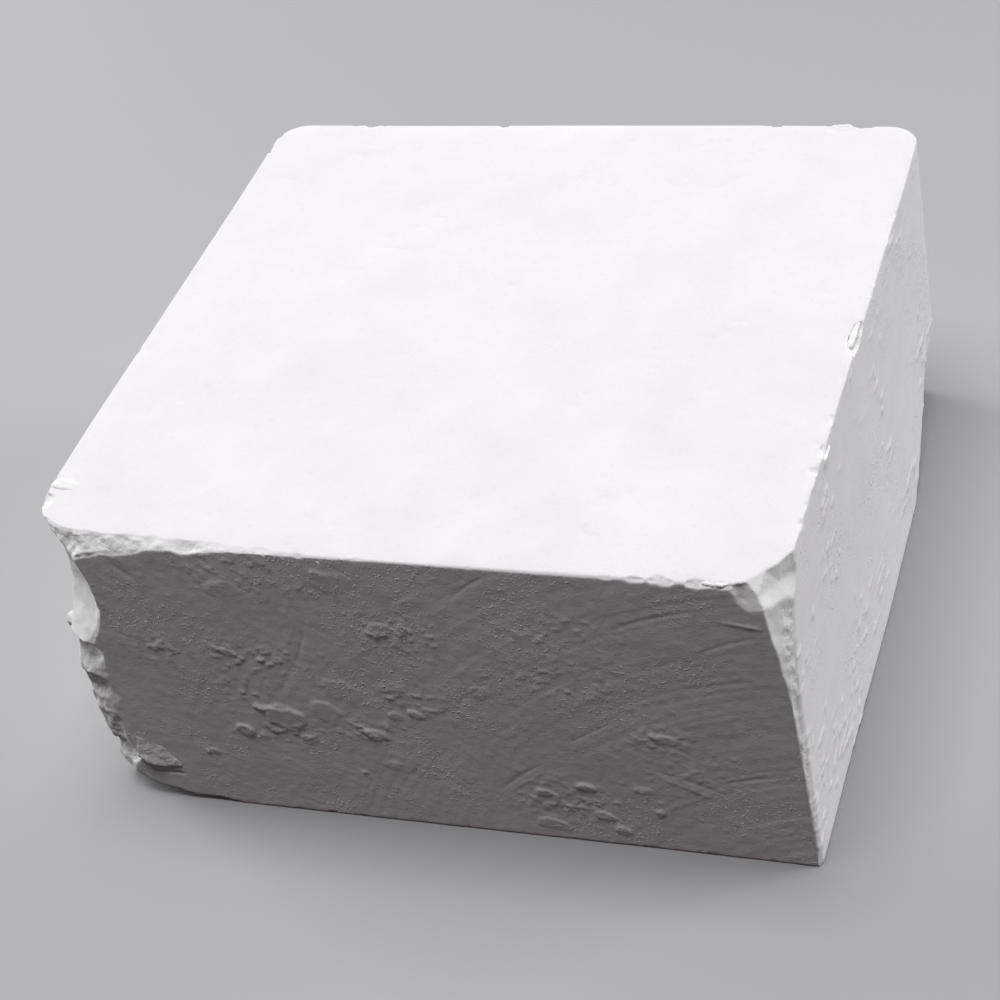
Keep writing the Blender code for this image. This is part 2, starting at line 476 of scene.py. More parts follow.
class Clay:
    """The block's points and normals in millimetres, while they are being pushed about."""

    def __init__(self, thing):
        self.mesh = thing.data
        count = len(self.mesh.vertices)
        flat = np.empty(count * 3, np.float32)
        self.mesh.vertices.foreach_get("co", flat)
        self.points = flat.reshape(-1, 3).astype(float) / MM
        self.mesh.vertex_normals.foreach_get("vector", flat)
        self.normals = flat.reshape(-1, 3).astype(float)

    def give_back(self):
        self.mesh.vertices.foreach_set("co", (self.points * MM).astype(np.float32).ravel())
        self.mesh.update()


LEFT_MM, FRONT_MM, BASE_MM = (side / MM for side in (LEFT, FRONT, BASE))
RIGHT_MM, BACK_MM, TOP_MM = (side / MM for side in (RIGHT, BACK, TOP))

# All in millimetres.
SKIN_DEPTH = 0.08  # up to here under the unbroken block's surface a point still lies on the pressed skin
FRACTURE_DEPTH = 0.26  # and from here down it lies on a fracture
SWELL = 0.08
DENT_DEPTH = 0.015
PIT_DEPTH = 0.03
STREAK_HEIGHT = 0.01
FLECK_HEIGHT = 0.09
FOOT_BOW = 0.22  # how far the right face bows out at its foot
CHIPS_PER_MM = 0.55


def depth_in_blank(points, radius):
    """How deep each point lies under the surface that the whole, unbroken block had."""
    x, y, z = points.T
    sides = np.minimum(np.minimum(x - LEFT_MM, RIGHT_MM - x), np.minimum(y - FRONT_MM, BACK_MM - y))
    over_x = np.abs(x - (LEFT_MM + RIGHT_MM) / 2) - ((RIGHT_MM - LEFT_MM) / 2 - radius)
    over_y = y - (BACK_MM - radius)
    in_corner = (over_x > 0) & (over_y > 0)
    sides = np.where(in_corner, radius - np.hypot(over_x, over_y), sides)
    return np.minimum(sides, np.minimum(z - BASE_MM, TOP_MM - z))


def broken_share(points, radius):
    """0 on the pressed faces and 1 on the fractures."""
    return ramp(depth_in_blank(points, radius), SKIN_DEPTH, FRACTURE_DEPTH)


def face_share(depth, facing, broken):
    """1 on one pressed face, where the depth under it is small and the surface looks its way, else 0."""
    on_face = 1 - ramp(depth, 0.25, 0.6)
    return on_face * ramp(facing, 0.5, 0.85) * (1 - broken)


def scoop(clay, centre, radii):
    """Press a rounded chip into the edge: points inside the ellipsoid move out to its surface."""
    centre = np.array(centre)
    radii = np.array(radii)
    near = np.nonzero((np.abs(clay.points - centre) < radii * 1.25).all(axis=1))[0]
    if len(near) == 0:
        return
    offset = (clay.points[near] - centre) / radii
    reach = np.linalg.norm(offset, axis=1)
    wobble = 1 + 0.14 * layered_noise(clay.points[near], max(0.4, 0.5 * radii.min()), 2, 71)
    inside = reach < wobble
    pushed = offset[inside] / np.maximum(reach[inside, None], 0.05) * wobble[inside, None]
    clay.points[near[inside]] = centre + pushed * radii


# How crumbly the fractures are where they are not ordinary, as (lowest corner, highest corner, share of the
# crumble) in millimetres from the middle of the base: the hollow at the left front corner, the wedge at the
# right one and its notch came away clean, the left end of the front top edge is rubble.
CRUMBLE_SHARES = (
    ((-31.0, -30.0, 17.3), (-24.6, -22.0, 26.8), 0.12),
    ((28.2, -30.0, 14.0), (29.5, -26.9, 26.2), 0.15),
    ((27.4, -30.0, 25.6), (31.0, -24.0, 29.0), 0.1),
    ((25.6, -30.0, 25.9), (28.6, -27.0, 29.0), 0.35),
    ((-31.0, -30.0, 26.0), (-20.0, -26.0, 29.1), 1.15),
    ((-31.0, -30.0, 2.0), (-26.0, -26.0, 17.2), 0.7),
    ((-20.0, -30.0, 26.0), (-9.0, -26.0, 29.1), 0.8),
)


def crumbly_share(points, broken):
    """How strongly each point's surface crumbles: 0 on the pressed faces, about 1 on most fractures."""
    share = broken * (0.8 + 0.35 * value_noise(points, 3.0, 37))
    for low, high, kept in CRUMBLE_SHARES:
        inside = np.minimum(points - low, np.array(high) - points).min(axis=1)
        share *= 1 - (1 - kept) * ramp(inside, 0.0, 0.3)
    return share


def crumble(clay, crumbly, strength):
    """Make the broken surfaces granular, with small steps."""
    chosen = np.nonzero(crumbly > 0.001)[0]
    points = clay.points[chosen]
    coarse = layered_noise(points, 0.9, 4, 11)
    ledges = np.abs(layered_noise(points, 1.5, 2, 29))
    push = strength * (0.85 * coarse - 0.9 * ledges + 0.3) * crumbly[chosen]
    clay.points[chosen] += clay.normals[chosen] * push[:, None]


def uneven_skin(clay, broken):
    """Slow swell over the pressed faces, and faint dents on the front and the sides."""
    whole = 1 - broken
    swell = SWELL * value_noise(clay.points, 15.0, 3)
    upright = ramp(1 - np.abs(clay.normals[:, 2]), 0.4, 0.8)
    dents = DENT_DEPTH * layered_noise(clay.points, 2.6, 3, 5) * upright
    clay.points += clay.normals * ((swell + dents) * whole)[:, None]


def chip_edges(clay, seed):
    """Small chips scattered along the edges of the top and the base, and the right front edge."""
    dice = random.Random(seed)
    edges = []
    for z in (BASE_MM, TOP_MM):
        edges.append(((LEFT_MM, FRONT_MM, z), (RIGHT_MM, FRONT_MM, z)))
        edges.append(((LEFT_MM, BACK_MM, z), (RIGHT_MM, BACK_MM, z)))
        edges.append(((LEFT_MM, FRONT_MM, z), (LEFT_MM, BACK_MM, z)))
        edges.append(((RIGHT_MM, FRONT_MM, z), (RIGHT_MM, BACK_MM, z)))
    edges.append(((RIGHT_MM, FRONT_MM, BASE_MM), (RIGHT_MM, FRONT_MM, TOP_MM)))
    centre_of_block = Vector((0, 0, (BASE_MM + TOP_MM) / 2))
    for start, end in edges:
        start = Vector(start)
        end = Vector(end)
        run = end - start
        outward = (start + end) / 2 - centre_of_block
        outward -= run.normalized() * outward.dot(run.normalized())
        outward = Vector([math.copysign(1, axis) if abs(axis) > 1 else 0 for axis in outward]).normalized()
        for _ in range(int(run.length * CHIPS_PER_MM)):
            size = 0.25 + 0.7 * dice.random() ** 3
            bite = (0.05 + 0.2 * dice.random()) * size
            place = start + run * dice.random()
            tilt = Vector((dice.uniform(-0.3, 0.3), dice.uniform(-0.3, 0.3), dice.uniform(-0.3, 0.3)))
            centre = place + (outward + tilt).normalized() * (size - bite)
            scoop(clay, centre, (size * dice.uniform(0.9, 1.5), size * dice.uniform(0.9, 1.5), size))


# Chips that are large enough to be placed one by one: middle and radii in millimetres, measured from the
# upright left front corner's foot, the middle of the front top edge, and the right front corner's top.
LEFT_CHIPS = (
    ((-0.3, 6.9, 29.3), (0.6, 0.5, 0.8)),
    ((-0.1, 4.2, 29.3), (1.35, 1.1, 0.9)),
    ((2.1, 0.2, 4.6), (1.1, 1.0, 0.55)),
    ((5.2, -0.37, 3.0), (2.8, 0.5, 0.3)),
    ((6.0, -0.35, 0.2), (1.6, 1.0, 0.5)),
    ((9.3, -0.35, 0.1), (1.0, 0.8, 0.45)),
)
FRONT_CHIPS = (
    ((17.4, -0.4, 0.3), (1.1, 0.7, 0.65)),
    ((19.6, -0.4, 0.3), (1.0, 0.8, 0.75)),
    ((21.6, -0.4, 0.35), (1.3, 0.8, 0.9)),
    ((24.2, -0.3, 0.4), (1.5, 0.9, 0.95)),
    ((26.0, -0.3, 0.5), (0.9, 0.9, 0.9)),
    ((-3.9, -0.4, 0.4), (0.9, 0.7, 0.7)),
    ((9.5, -0.5, 0.4), (1.4, 0.7, 0.6)),
)
RIGHT_CHIPS = (
    ((0.45, 6.4, 0.3), (0.8, 1.6, 0.7)),
    ((0.4, 9.0, 0.35), (0.7, 1.0, 0.7)),
    ((0.4, 14.8, 0.3), (0.9, 1.5, 0.8)),
    ((0.3, 18.2, 0.4), (0.7, 1.2, 0.7)),
    ((0.2, 28.2, 0.2), (1.0, 2.6, 0.9)),
    ((0.4, 36.0, 0.4), (0.7, 2.0, 0.7)),
    ((0.3, 44.5, 0.4), (0.7, 1.6, 0.7)),
)


def hand_placed_chips():
    """Every listed chip, with its middle in the block's own frame."""
    corners = (
        ((LEFT_MM, FRONT_MM, BASE_MM), LEFT_CHIPS),
        ((0.0, FRONT_MM, TOP_MM), FRONT_CHIPS),
        ((RIGHT_MM, FRONT_MM, TOP_MM), RIGHT_CHIPS),
    )
    for corner, chips in corners:
        for offset, radii in chips:
            yield np.array(corner) + offset, radii


# ---------------------------------------------------------------- the front face's relief


WIPE_CENTRE = (35.0, -17.0)  # the front face was wiped in arcs about this point, in millimetres
SCRATCH_DEPTH = 0.018
TOOTH = 0.01  # height of the even roughness under the marks

# (along X, up Z, half width, half height, share of the blister height, tilt in degrees)
BLISTERS = (
    (-12.1, 11.0, 1.75, 1.45, 1.0, -20),
    (-8.2, 12.2, 1.0, 0.95, 0.45, 0),
    (-6.3, 14.8, 1.7, 1.2, 0.25, -15),
    (-4.4, 26.4, 1.6, 1.2, 0.35, 0),
    (-13.6, 25.0, 1.5, 0.9, 0.3, 0),
    (-1.4, 21.9, 1.0, 0.75, 0.5, 0),
    (-4.3, 10.1, 0.9, 0.65, 0.6, 0),
    (-2.3, 12.5, 0.65, 0.5, 0.55, 0),
    (-0.5, 12.9, 0.6, 0.4, 0.7, -20),
    (-3.7, 6.7, 0.9, 0.5, 0.3, 0),
    (12.2, 6.4, 0.85, 0.5, 0.8, -15),
    (8.5, 5.3, 0.7, 0.45, 0.75, -10),
    (13.3, 3.2, 0.95, 0.55, 0.6, -20),
    (14.5, 1.8, 0.8, 0.55, 0.7, -15),
    (8.8, 1.6, 1.3, 0.6, 0.5, -8),
    (19.8, 12.6, 1.0, 0.55, 0.5, -10),
    (17.9, 4.3, 0.5, 0.45, 0.7, 0),
    (16.8, 6.7, 0.8, 0.4, 0.35, 0),
    (-15.2, 18.1, 1.0, 0.4, 0.6, -20),
    (-16.1, 9.3, 0.85, 0.6, 0.85, -35),
    (-10.8, 9.0, 0.45, 0.4, 0.6, 0),
    (-6.5, 5.5, 0.35, 0.25, 0.6, 0),
    (-19.8, 6.2, 0.55, 0.35, 0.6, 0),
    (5.2, 16.0, 0.7, 0.5, 0.35, 0),
    (1.2, 24.6, 1.2, 0.5, 0.25, 30),
)

# (along X, up Z, spread along X, spread up, how many, share of the blister height)
NODULE_PATCHES = (
    (-21.0, 18.0, 3.0, 1.6, 18, 0.32),
    (-13.5, 17.5, 3.6, 1.5, 23, 0.42),
    (-14.6, 14.0, 2.2, 1.4, 11, 0.35),
    (-11.5, 26.5, 5.0, 1.9, 21, 0.32),
    (-0.3, 21.4, 3.2, 2.2, 23, 0.36),
    (-0.6, 14.2, 2.6, 1.8, 16, 0.36),
    (-12.2, 9.2, 4.2, 1.2, 16, 0.42),
    (-5.0, 10.6, 3.6, 1.1, 14, 0.36),
    (12.0, 23.3, 4.2, 2.4, 18, 0.20),
    (12.6, 18.2, 4.4, 2.2, 23, 0.24),
    (21.0, 9.4, 4.4, 2.6, 21, 0.14),
    (10.5, 4.6, 4.0, 2.2, 15, 0.36),
    (19.2, 12.6, 2.4, 1.3, 14, 0.34),
    (0.0, 14.0, 28.0, 12.5, 182, 0.06),
)

# (from X, from Z, to X, to Z, half width, share of the wiping depth)
SCRATCHES = (
    (-7.1, 23.6, -12.3, 13.3, 0.20, 1.7),
    (-7.9, 23.4, -12.9, 14.6, 0.10, -0.6),
    (-4.4, 2.8, -1.0, 7.5, 0.10, 1.0),
    (-4.0, 2.6, -0.7, 7.0, 0.08, -0.8),
    (3.1, 14.2, 6.3, 17.2, 0.10, 1.6),
    (4.6, 25.2, 8.5, 28.4, 0.12, 1.4),
    (4.9, 5.0, 8.9, 8.5, 0.12, 2.0),
    (5.4, 4.6, 9.3, 7.9, 0.09, -1.5),
    (12.0, 11.5, 15.5, 14.0, 0.10, 2.0),
    (15.8, 23.0, 22.9, 26.2, 0.16, 1.4),
    (22.7, 21.8, 28.1, 24.3, 0.14, 1.5),
    (21.2, 17.8, 27.8, 19.8, 0.16, 1.2),
    (17.9, 9.1, 23.7, 7.0, 0.16, 1.6),
    (18.2, 8.4, 22.4, 6.6, 0.12, -1.6),
    (23.0, 8.4, 27.6, 9.6, 0.14, 1.8),
    (-22.6, 26.7, -21.2, 25.4, 0.35, 3.0),
    (25.4, 25.4, 28.2, 25.0, 0.12, -3.5),
)


def blister_height(x, z, entry, uneven):
    """A flat button with a slight rim and a steep foot, which stands out most at its upper left."""
    middle_x, middle_z, half_x, half_z, share, tilt = entry
    turn = math.radians(tilt)
    along = (x - middle_x) * math.cos(turn) + (z - middle_z) * math.sin(turn)
    up = (z - middle_z) * math.cos(turn) - (x - middle_x) * math.sin(turn)
    reach = np.hypot(along / half_x, up / half_z) * (1 + 0.3 * uneven)
    button = 0.8 * (1 - ramp(reach, 0.8, 1.1))
    rim = 0.07 * np.exp(-(((reach - 0.84) / 0.12) ** 2))
    lifted = 0.7 + 0.4 * np.clip((up / half_z - 0.5 * along / half_x) / 1.1, -1, 1)
    return share * (button * lifted + rim)


def nodules(seed):
    """Small round lumps, scattered in patches."""
    dice = random.Random(seed)
    for middle_x, middle_z, spread_x, spread_z, count, share in NODULE_PATCHES:
        for _ in range(count):
            size = 0.09 + 0.2 * dice.random() ** 3
            x = middle_x + dice.uniform(-1, 1) * spread_x
            z = middle_z + dice.uniform(-1, 1) * spread_z
            yield x, z, size * dice.uniform(0.9, 1.5), size, max(share, 0.25) * dice.uniform(0.2, 0.7)


def scratch_depth(x, z, entry):
    """A groove or, with a negative share, a ridge, that fades towards its two ends."""
    from_x, from_z, to_x, to_z, half_width, share = entry
    run_x = to_x - from_x
    run_z = to_z - from_z
    length = math.hypot(run_x, run_z)
    along = ((x - from_x) * run_x + (z - from_z) * run_z) / length
    bow = 0.02 * (along * (length - along))
    across = ((z - from_z) * run_x - (x - from_x) * run_z) / length - bow
    fade = ramp(along, -0.4, 0.25 * length) * (1 - ramp(along, 0.75 * length, length + 0.4))
    return share * fade * np.exp(-((across / half_width) ** 2))


def front_relief(clay, settings, broken):
    """Blisters, nodules, scratches and wiping marks on the front face."""
    share = face_share(clay.points[:, 1] - FRONT_MM, -clay.normals[:, 1], broken)
    chosen = np.nonzero(share > 0.001)[0]
    x = clay.points[chosen, 0]
    z = clay.points[chosen, 2]
    flat = np.stack([x, np.zeros(len(x)), z], axis=1)
    uneven = layered_noise(flat, 1.1, 3, 41)
    blister = settings.blister / MM
    wiping = settings.wiping / MM

    reach = np.hypot(x - WIPE_CENTRE[0], z - WIPE_CENTRE[1])
    turned = np.arctan2(z - WIPE_CENTRE[1], x - WIPE_CENTRE[0])
    swept = np.stack([reach, turned * 30.0, np.zeros(len(x))], axis=1)
    fine = value_noise(swept / (0.32, 8.0, 1.0), 1.0, 51)
    broad = value_noise(swept / (1.9, 9.0, 1.0), 1.0, 57)
    patchy = ramp(value_noise(flat, 7.0, 61) + 0.03 * x, -0.5, 0.6)
    height = wiping * (0.75 * fine * patchy + 0.5 * broad)
    height += TOOTH * layered_noise(flat, 0.45, 2, 67)

    patches = np.zeros(len(x))
    for middle_x, middle_z, spread_x, spread_z, _, patch_share in NODULE_PATCHES:
        away = ((x - middle_x) / spread_x) ** 2 + ((z - middle_z) / spread_z) ** 2
        patches = np.maximum(patches, patch_share * np.exp(-away))
    height += blister * 1.1 * patches * ramp(layered_noise(flat, 0.5, 3, 73), 0.15, 0.8)

    for entry in BLISTERS:
        height += blister * blister_height(x, z, entry, uneven)
    for middle_x, middle_z, half_x, half_z, lump_share in nodules(7):
        near = np.nonzero((np.abs(x - middle_x) < 1.3 * half_x) & (np.abs(z - middle_z) < 1.3 * half_z))[0]
        reach = np.hypot((x[near] - middle_x) / half_x, (z[near] - middle_z) / half_z)
        height[near] += blister * lump_share * (1 - ramp(reach * (1 + 0.25 * uneven[near]), 0.35, 1.15))
    for entry in SCRATCHES:
        height -= SCRATCH_DEPTH * scratch_depth(x, z, entry)
    clay.points[chosen, 1] -= height * share[chosen]


def right_relief(clay, broken):
    """Faint streaks and small flecks drawn along the right face, which bows out a little at its foot."""
    share = face_share(RIGHT_MM - clay.points[:, 0], clay.normals[:, 0], broken)
    chosen = np.nonzero(share > 0.001)[0]
    y = clay.points[chosen, 1]
    z = clay.points[chosen, 2] + 0.03 * (y - FRONT_MM)
    flat = np.stack([np.zeros(len(y)), y, z], axis=1)
    height = STREAK_HEIGHT * value_noise(flat / (1.0, 9.0, 0.6), 1.0, 81)
    flecks = value_noise(flat / (1.0, 1.5, 0.4), 1.0, 87)
    near_corner = 0.6 * np.exp(-np.maximum(y - FRONT_MM, 0) / 7.0)
    patches = ramp(value_noise(flat, 5.0, 89) + near_corner, -0.1, 0.5)
    height += FLECK_HEIGHT * ramp(flecks, 0.5, 0.8) * patches
    bow = FOOT_BOW * (1 - (y / BACK_MM) ** 2) * np.exp(-z / 6.0)
    clay.points[chosen, 0] += (height + bow) * share[chosen]


def top_relief(clay, broken):
    """Faint pits in the moulded top."""
    share = face_share(TOP_MM - clay.points[:, 2], clay.normals[:, 2], broken)
    flat = clay.points * (1, 1, 0)
    pits = value_noise(flat, 0.8, 93) * value_noise(flat, 5.0, 97)
    clay.points[:, 2] -= PIT_DEPTH * ramp(pits, 0.4, 0.65) * share


def write_layer(thing, name, values):
    """Keep one number for each point with the mesh, for the material to read."""
    layer = thing.data.attributes.new(name, "FLOAT", "POINT")
    layer.data.foreach_set("value", values.astype(np.float32))


def sculpt_block(block, settings):
    """Push the points of the even grid until the block has its chips, lumps and marks."""
    radius = settings.mould_radius / MM
    clay = Clay(block)
    for centre, radii in hand_placed_chips():
        scoop(clay, centre, radii)
    chip_edges(clay, 19)
    clay.give_back()
    clay = Clay(block)
    broken = broken_share(clay.points, radius)
    crumbly = crumbly_share(clay.points, broken)
    uneven_skin(clay, broken)
    front_relief(clay, settings, broken)
    right_relief(clay, broken)
    top_relief(clay, broken)
    crumble(clay, crumbly, settings.crumble / MM)
    clay.points[:, 2] = np.maximum(clay.points[:, 2], BASE_MM)
    clay.give_back()
    write_layer(block, "broken", broken)
    write_layer(block, "crumbly", crumbly)


def thin_out(block, most):
    """Collapse points where the surface is flat, until the block is light enough."""
    block.data.calc_loop_triangles()
    present = len(block.data.loop_triangles)
    lighter = block.modifiers.new("fewer triangles", "DECIMATE")
    lighter.ratio = min(1.0, most / present)
    apply_stack(block)


# ---------------------------------------------------------------- material


def chalk_material(name, skin, broken, always_broken):
    """Dry pressed powder. always_broken is 1 for a piece that is a fracture all over."""
    material = bpy.data.materials.new(name)
    material.use_nodes = True
    material.cycles.use_bump_map_correction = False  # else the grazing light skips the raised specks
    nodes = material.node_tree.nodes
    links = material.node_tree.links
    nodes.clear()

    placement = nodes.new("NodeFrame")
    placement.label = "Placement"
    own_space = nodes.new("ShaderNodeTexCoord")
    own_space.label = "Block's own space"
    millimetres = nodes.new("ShaderNodeMapping")
    millimetres.label = "Count in millimetres"
    millimetres.inputs["Scale"].default_value = (1000, 1000, 1000)
    links.new(own_space.outputs["Object"], millimetres.inputs["Vector"])
    fracture = nodes.new("ShaderNodeAttribute")
    fracture.label = "Where it is broken"
    fracture.attribute_name = "broken"
    crumbling = nodes.new("ShaderNodeAttribute")
    crumbling.label = "How much it crumbles"
    crumbling.attribute_name = "crumbly"
    crumbled = nodes.new("ShaderNodeMath")
    crumbled.label = "A flake crumbles a little all over"
    crumbled.operation = "MAXIMUM"
    crumbled.inputs[1].default_value = 0.3 * always_broken
    links.new(crumbling.outputs["Fac"], crumbled.inputs[0])
    fractured = nodes.new("ShaderNodeMath")
    fractured.label = "Broken all over, for a flake"
    fractured.operation = "MAXIMUM"
    fractured.inputs[1].default_value = always_broken
    links.new(fracture.outputs["Fac"], fractured.inputs[0])

    colour = nodes.new("NodeFrame")
    colour.label = "Colour"
    clouds = nodes.new("ShaderNodeTexNoise")
    clouds.label = "Uneven pressing"
    clouds.inputs["Scale"].default_value = 0.16
    clouds.inputs["Detail"].default_value = 5.0
    clouds.inputs["Roughness"].default_value = 0.6
    links.new(millimetres.outputs["Vector"], clouds.inputs["Vector"])
    cloud_range = nodes.new("ShaderNodeMapRange")
    cloud_range.label = "Faint grey clouds"
    cloud_range.inputs["From Min"].default_value = 0.3
    cloud_range.inputs["From Max"].default_value = 0.7
    cloud_range.inputs["To Min"].default_value = 0.955
    cloud_range.inputs["To Max"].default_value = 1.0
    links.new(clouds.outputs["Fac"], cloud_range.inputs["Value"])
    specks = nodes.new("ShaderNodeTexNoise")
    specks.label = "Powder specks"
    specks.inputs["Scale"].default_value = 2.4
    specks.inputs["Detail"].default_value = 3.0
    links.new(millimetres.outputs["Vector"], specks.inputs["Vector"])
    speck_range = nodes.new("ShaderNodeMapRange")
    speck_range.label = "Darker where powder is lost"
    speck_range.inputs["From Min"].default_value = 0.28
    speck_range.inputs["From Max"].default_value = 0.42
    speck_range.inputs["To Min"].default_value = 0.965
    speck_range.inputs["To Max"].default_value = 1.0
    links.new(specks.outputs["Fac"], speck_range.inputs["Value"])
    shade = nodes.new("ShaderNodeMath")
    shade.label = "Clouds and specks together"
    shade.operation = "MULTIPLY"
    links.new(cloud_range.outputs["Result"], shade.inputs[0])
    links.new(speck_range.outputs["Result"], shade.inputs[1])
    skin_or_broken = nodes.new("ShaderNodeMix")
    skin_or_broken.label = "Skin or fracture"
    skin_or_broken.data_type = "RGBA"
    skin_or_broken.inputs["A"].default_value = skin
    skin_or_broken.inputs["B"].default_value = broken
    links.new(fractured.outputs["Value"], skin_or_broken.inputs["Factor"])
    toned = nodes.new("ShaderNodeVectorMath")
    toned.label = "Shaded chalk"
    toned.operation = "SCALE"
    links.new(skin_or_broken.outputs["Result"], toned.inputs["Vector"])
    links.new(shade.outputs["Value"], toned.inputs["Scale"])

    dryness = nodes.new("NodeFrame")
    dryness.label = "Roughness"
    smear = nodes.new("ShaderNodeTexNoise")
    smear.label = "Smeared patches"
    smear.inputs["Scale"].default_value = 0.5
    smear.inputs["Detail"].default_value = 4.0
    links.new(millimetres.outputs["Vector"], smear.inputs["Vector"])
    smear_range = nodes.new("ShaderNodeMapRange")
    smear_range.label = "Scraped to almost dry"
    smear_range.inputs["To Min"].default_value = 0.82
    smear_range.inputs["To Max"].default_value = 1.0
    links.new(smear.outputs["Fac"], smear_range.inputs["Value"])

    relief = nodes.new("NodeFrame")
    relief.label = "Fine relief"
    grain = nodes.new("ShaderNodeTexNoise")
    grain.label = "Pressed powder grain"
    grain.inputs["Scale"].default_value = 5.0
    grain.inputs["Detail"].default_value = 6.0
    grain.inputs["Roughness"].default_value = 0.62
    links.new(millimetres.outputs["Vector"], grain.inputs["Vector"])
    grain_bump = nodes.new("ShaderNodeBump")
    grain_bump.label = "Grain"
    grain_bump.inputs["Strength"].default_value = 0.40
    grain_bump.inputs["Distance"].default_value = 0.00006
    links.new(grain.outputs["Fac"], grain_bump.inputs["Height"])
    scraps = nodes.new("ShaderNodeTexNoise")
    scraps.label = "Scraps of powder"
    scraps.inputs["Scale"].default_value = 3.2
    scraps.inputs["Detail"].default_value = 3.0
    links.new(millimetres.outputs["Vector"], scraps.inputs["Vector"])
    scrap_range = nodes.new("ShaderNodeMapRange")
    scrap_range.label = "Only the highest stand out"
    scrap_range.inputs["From Min"].default_value = 0.57
    scrap_range.inputs["From Max"].default_value = 0.73
    links.new(scraps.outputs["Fac"], scrap_range.inputs["Value"])
    patches = nodes.new("ShaderNodeTexNoise")
    patches.label = "Patches of scraps"
    patches.inputs["Scale"].default_value = 0.22
    patches.inputs["Detail"].default_value = 3.0
    links.new(millimetres.outputs["Vector"], patches.inputs["Vector"])
    patch_range = nodes.new("ShaderNodeMapRange")
    patch_range.label = "Where scraps gather"
    patch_range.inputs["From Min"].default_value = 0.5
    patch_range.inputs["From Max"].default_value = 0.62
    links.new(patches.outputs["Fac"], patch_range.inputs["Value"])
    scrap_bump = nodes.new("ShaderNodeBump")
    scrap_bump.label = "Scraps"
    scrap_bump.inputs["Distance"].default_value = 0.00006
    slope = nodes.new("ShaderNodeSeparateXYZ")
    slope.label = "Which way the face looks"
    links.new(own_space.outputs["Normal"], slope.inputs["Vector"])
    upright = nodes.new("ShaderNodeMath")
    upright.label = "None on the moulded top"
    upright.operation = "SUBTRACT"
    upright.use_clamp = True
    upright.inputs[0].default_value = 1.0
    links.new(slope.outputs["Z"], upright.inputs[1])
    gathered = nodes.new("ShaderNodeMath")
    gathered.label = "Scraps on the sides"
    gathered.operation = "MULTIPLY"
    links.new(patch_range.outputs["Result"], gathered.inputs[0])
    links.new(upright.outputs["Value"], gathered.inputs[1])
    links.new(gathered.outputs["Value"], scrap_bump.inputs["Strength"])
    links.new(scrap_range.outputs["Result"], scrap_bump.inputs["Height"])
    links.new(grain_bump.outputs["Normal"], scrap_bump.inputs["Normal"])
    crumbs = nodes.new("ShaderNodeTexNoise")
    crumbs.label = "Crumbled powder"
    crumbs.inputs["Scale"].default_value = 2.2
    crumbs.inputs["Detail"].default_value = 8.0
    crumbs.inputs["Roughness"].default_value = 0.66
    links.new(millimetres.outputs["Vector"], crumbs.inputs["Vector"])
    crumb_bump = nodes.new("ShaderNodeBump")
    crumb_bump.label = "Crumbs on the fractures"
    crumb_bump.inputs["Distance"].default_value = 0.0002
    links.new(crumbled.outputs["Value"], crumb_bump.inputs["Strength"])
    links.new(crumbs.outputs["Fac"], crumb_bump.inputs["Height"])
    links.new(scrap_bump.outputs["Normal"], crumb_bump.inputs["Normal"])

    rows = (
        (placement, 0, (own_space, millimetres, fracture, crumbling, crumbled, fractured)),
        (colour, 400, (clouds, cloud_range, specks, speck_range, shade, skin_or_broken, toned)),
        (dryness, -300, (smear, smear_range)),
        (
            relief,
            -700,
            (grain, grain_bump, scraps, scrap_range, patches, patch_range, scrap_bump, slope,
             upright, gathered, crumbs, crumb_bump),
        ),
    )
    for group, height, members in rows:
        for column, node in enumerate(members):
            node.parent = group
            node.location = (200 * column - 1900, height)

    shader = nodes.new("ShaderNodeBsdfPrincipled")
    shader.label = "Chalk"
    shader.location = (-200, 100)
    shader.inputs["Diffuse Roughness"].default_value = 0.9
    shader.inputs["Specular IOR Level"].default_value = 0.15
    links.new(toned.outputs["Vector"], shader.inputs["Base Color"])
    links.new(smear_range.outputs["Result"], shader.inputs["Roughness"])
    links.new(crumb_bump.outputs["Normal"], shader.inputs["Normal"])
    output = nodes.new("ShaderNodeOutputMaterial")
    output.label = "Block or flake"
    output.location = (100, 100)
    links.new(shader.outputs["BSDF"], output.inputs["Surface"])
    return material


# ---------------------------------------------------------------- operators


class CHALK_OT_pressed_block(bpy.types.Operator):
    """Build the pressed block with its breaks, chips, blisters and wiping marks"""

    bl_idname = "chalk.pressed_block"
    bl_label = "Pressed block"

    def execute(self, context):
        settings = context.scene.chalk_block
        block = pressed_blank(settings)
        break_and_grid(block, settings)
        sculpt_block(block, settings)
        thin_out(block, settings.most_triangles)
        block.data.shade_smooth()
        block.data.materials.clear()
        block.data.materials.append(
            chalk_material("pressed_chalk", settings.skin_colour, settings.broken_colour, 0.0)
        )
        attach(block, "root")
        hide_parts("chalk_block")
        return {"FINISHED"}


FLAKE_GRID = 0.06 * MM
FLAKE_CRUMBLE = 0.18 * MM

